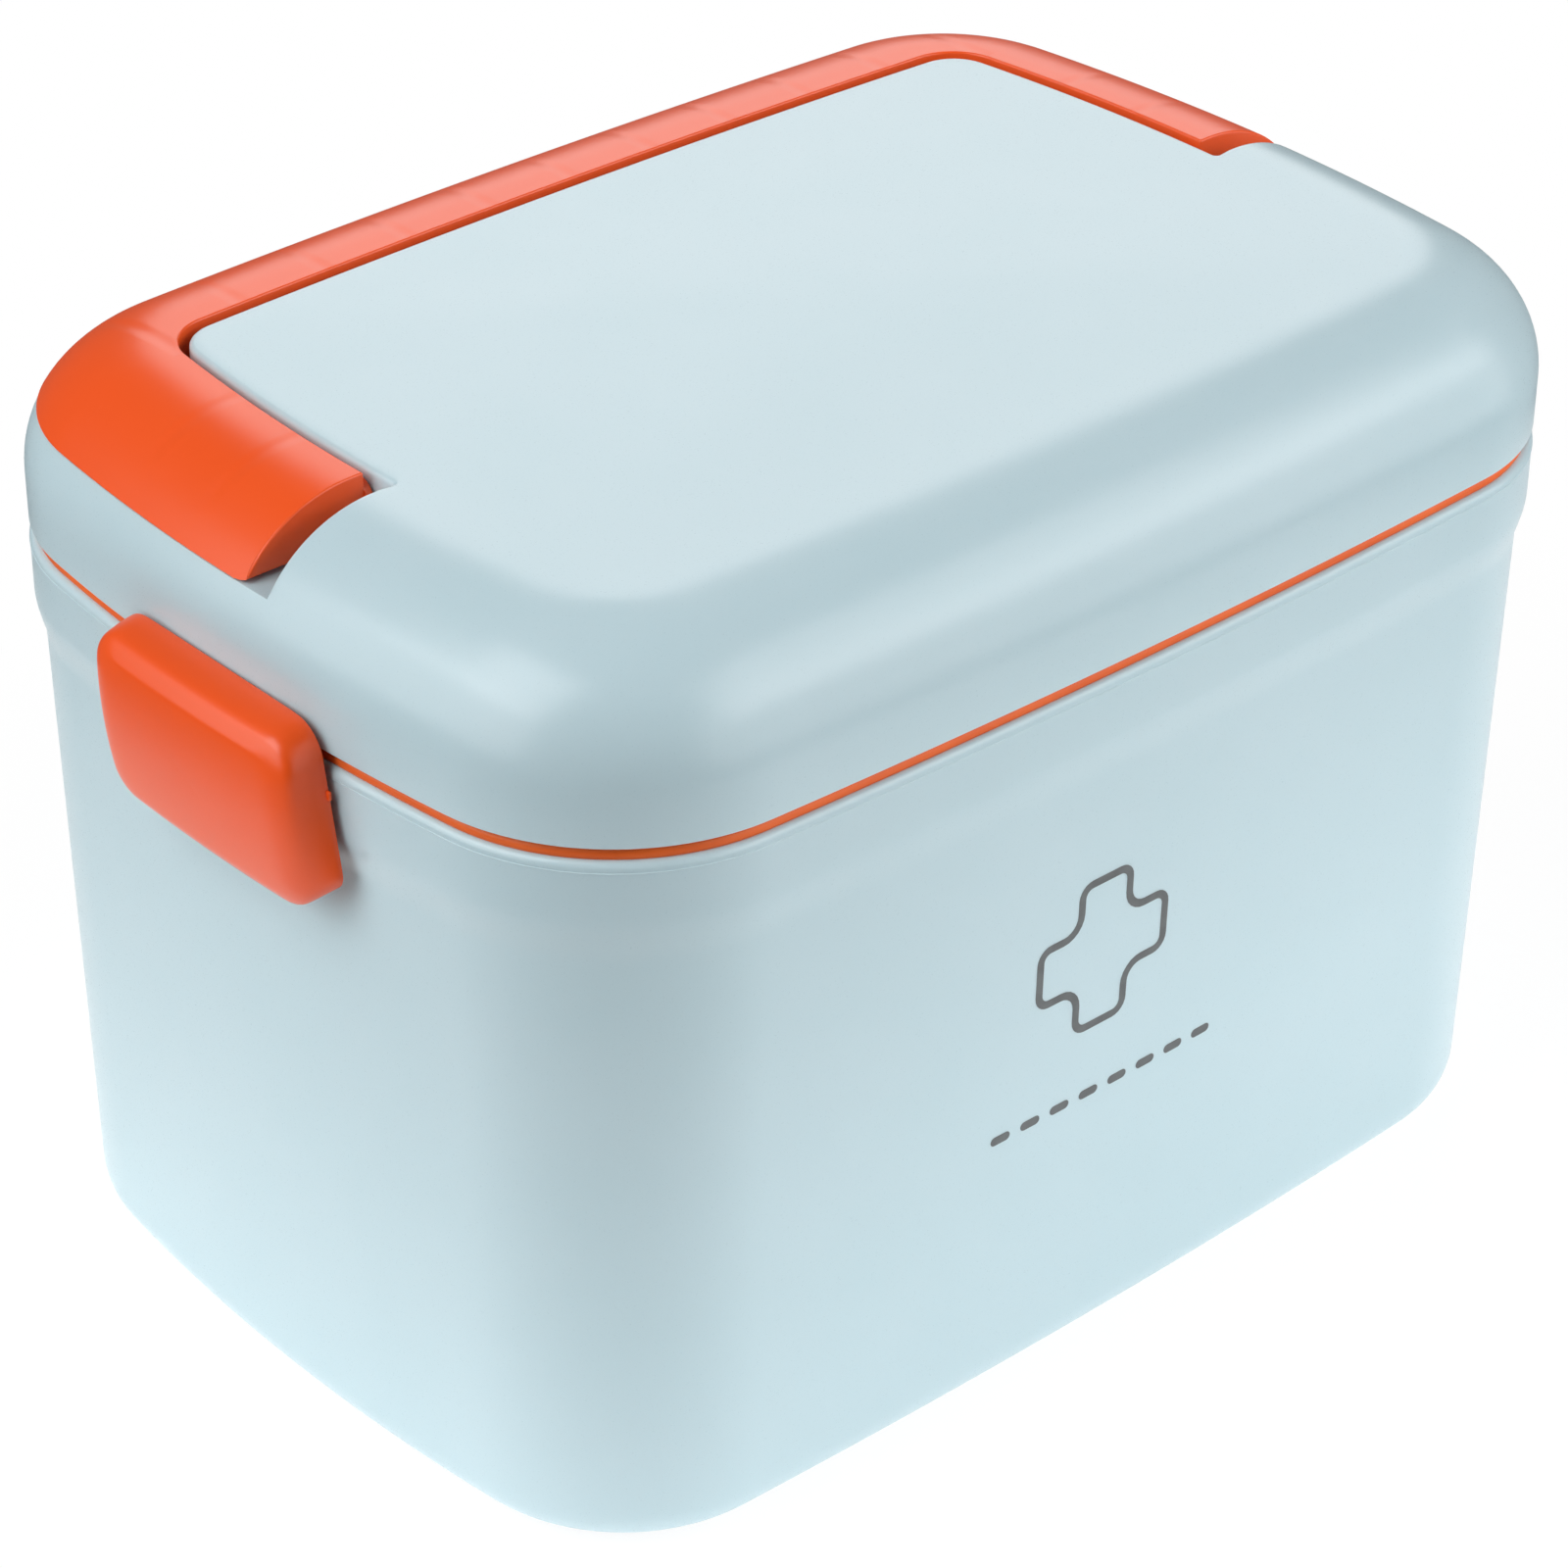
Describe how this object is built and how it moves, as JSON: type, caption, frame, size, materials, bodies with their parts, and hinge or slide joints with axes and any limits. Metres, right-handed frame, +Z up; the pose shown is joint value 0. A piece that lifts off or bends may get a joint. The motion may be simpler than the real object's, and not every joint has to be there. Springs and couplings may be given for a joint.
{
  "type": "medicine storage box",
  "caption": "Portable plastic medicine box with a lift-off domed lid, folding carry handle, side latches, seal ring and lift-out compartment tray.",
  "frame": {"origin": "centre of the base, on the resting face", "axes": "+X along the long front wall towards its right-hand latch, +Y from the front wall towards the back, +Z up"},
  "size_m": [0.2556, 0.1712, 0.1707],
  "materials": {
    "tub_plastic": "satin moulded, pale blue",
    "lid_plastic": "satin moulded, pale blue",
    "orange_plastic": "satin moulded, orange",
    "seal_rubber": "soft matt, orange",
    "tray_plastic": "satin moulded, off-white",
    "pin_steel": "drawn"
  },
  "bodies": {
    "tub": {"tub_shell": "tub_plastic", "seal_ring": "seal_rubber", "latch_pin_left": "pin_steel", "latch_pin_right": "pin_steel", "tub_divider": "tray_plastic"},
    "lid": {"lid_shell": "lid_plastic", "handle_pin_left": "pin_steel", "handle_pin_right": "pin_steel"},
    "handle": {"carry_handle": "orange_plastic"},
    "left_latch": {"latch_left": "orange_plastic"},
    "right_latch": {"latch_right": "orange_plastic"},
    "tray": {"tray_shell": "tray_plastic", "tray_divider_left": "tray_plastic", "tray_divider_right": "tray_plastic"}
  },
  "joints": [
    {"name": "lid_lift", "type": "slide", "parent": "tub", "child": "lid", "axis": [0, 0, 1], "range_m": [0, 0.3]},
    {"name": "handle_swing", "type": "hinge", "parent": "lid", "child": "handle", "pos_m": [0, -0.0006, 0.1646], "axis": [1, 0, 0], "range_deg": [0, 105]},
    {"name": "latch_left_swing", "type": "hinge", "parent": "tub", "child": "left_latch", "pos_m": [-0.1202, 0, 0.118], "axis": [0, -1, 0], "range_deg": [0, 48]},
    {"name": "latch_right_swing", "type": "hinge", "parent": "tub", "child": "right_latch", "pos_m": [0.1202, 0, 0.118], "axis": [0, 1, 0], "range_deg": [0, 48]},
    {"name": "tray_lift", "type": "slide", "parent": "tub", "child": "tray", "axis": [0, 0, 1], "range_m": [0, 0.135]}
  ],
  "couplings": [
    {"joint": "tray_lift", "follows": "lid_lift", "ratio": 0.45}
  ]
}
